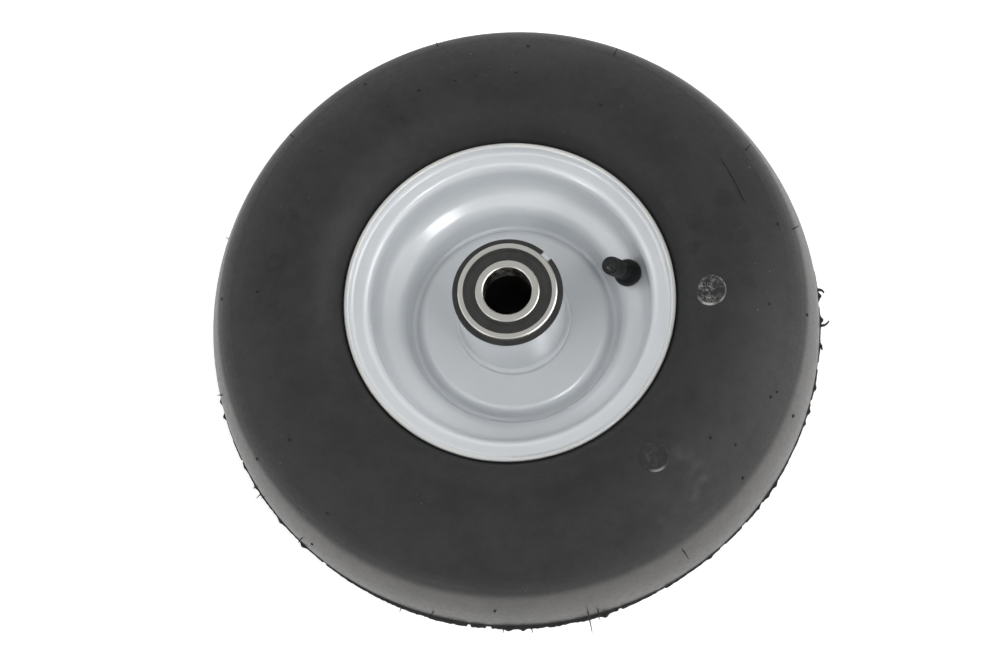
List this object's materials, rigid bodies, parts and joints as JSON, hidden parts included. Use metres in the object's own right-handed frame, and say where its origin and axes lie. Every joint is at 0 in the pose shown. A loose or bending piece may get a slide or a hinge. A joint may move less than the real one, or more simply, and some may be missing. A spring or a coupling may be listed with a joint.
{
  "type": "wheel",
  "caption": "Caster wheel for a ride-on mower: smooth air-filled tyre on a pressed steel rim with a sealed ball bearing in each end of its hub.",
  "frame": {"origin": "centre of the wheel, on the axle line halfway between the bearing faces", "axes": "+Z along the axle towards the valve side, with the wheel lying on its other side"},
  "size_m": [0.33, 0.33, 0.127],
  "materials": {
    "tyre": "matt black rubber, dusty",
    "rim_paint": "satin silver-grey paint",
    "plain_steel": "dull oiled steel",
    "bearing_steel": "ground bearing steel",
    "ball_steel": "polished",
    "seal_rubber": "smooth black rubber",
    "black_steel": "black phosphate finish",
    "valve_rubber": "moulded black rubber",
    "brass": "turned",
    "cap_plastic": "moulded"
  },
  "bodies": {
    "axle_sleeve": {"spacer_tube": "plain_steel", "front_inner_race": "bearing_steel", "rear_inner_race": "bearing_steel"},
    "wheel": {"tyre": "tyre", "rim_front_half": "rim_paint", "rim_rear_half": "rim_paint", "hub_tube": "rim_paint", "valve_body": "valve_rubber", "valve_stem": "brass", "valve_core": "brass", "front_outer_race": "bearing_steel", "front_outer_seal": "seal_rubber", "front_inner_seal": "seal_rubber", "front_snap_ring": "black_steel", "rear_outer_race": "bearing_steel", "rear_outer_seal": "seal_rubber", "rear_inner_seal": "seal_rubber", "rear_snap_ring": "black_steel"},
    "front_ball_set": {"front_balls": "ball_steel", "front_cage": "plain_steel"},
    "rear_ball_set": {"rear_balls": "ball_steel", "rear_cage": "plain_steel"},
    "cap": {"valve_cap": "cap_plastic"},
    "pin": {"valve_pin": "brass"}
  },
  "joints": [
    {"name": "wheel_spin", "type": "hinge", "parent": "axle_sleeve", "child": "wheel", "pos_m": [0, 0, 0], "axis": [0, 0, 1], "continuous": true},
    {"name": "front_ball_orbit", "type": "hinge", "parent": "axle_sleeve", "child": "front_ball_set", "pos_m": [0, 0, 0.0545], "axis": [0, 0, 1], "continuous": true},
    {"name": "rear_ball_orbit", "type": "hinge", "parent": "axle_sleeve", "child": "rear_ball_set", "pos_m": [0, 0, -0.0545], "axis": [0, 0, 1], "continuous": true},
    {"name": "cap_off", "type": "slide", "parent": "wheel", "child": "cap", "axis": [-0.3579, -0.1211, 0.9259], "range_m": [0, 0.014]},
    {"name": "pin_press", "type": "slide", "parent": "wheel", "child": "pin", "axis": [0.3579, 0.1211, -0.9259], "range_m": [0, 0.0012], "stiffness_N_per_m": 300, "springref_m": -0.002}
  ],
  "couplings": [
    {"joint": "front_ball_orbit", "follows": "wheel_spin", "ratio": 0.6018},
    {"joint": "rear_ball_orbit", "follows": "wheel_spin", "ratio": 0.6018}
  ]
}
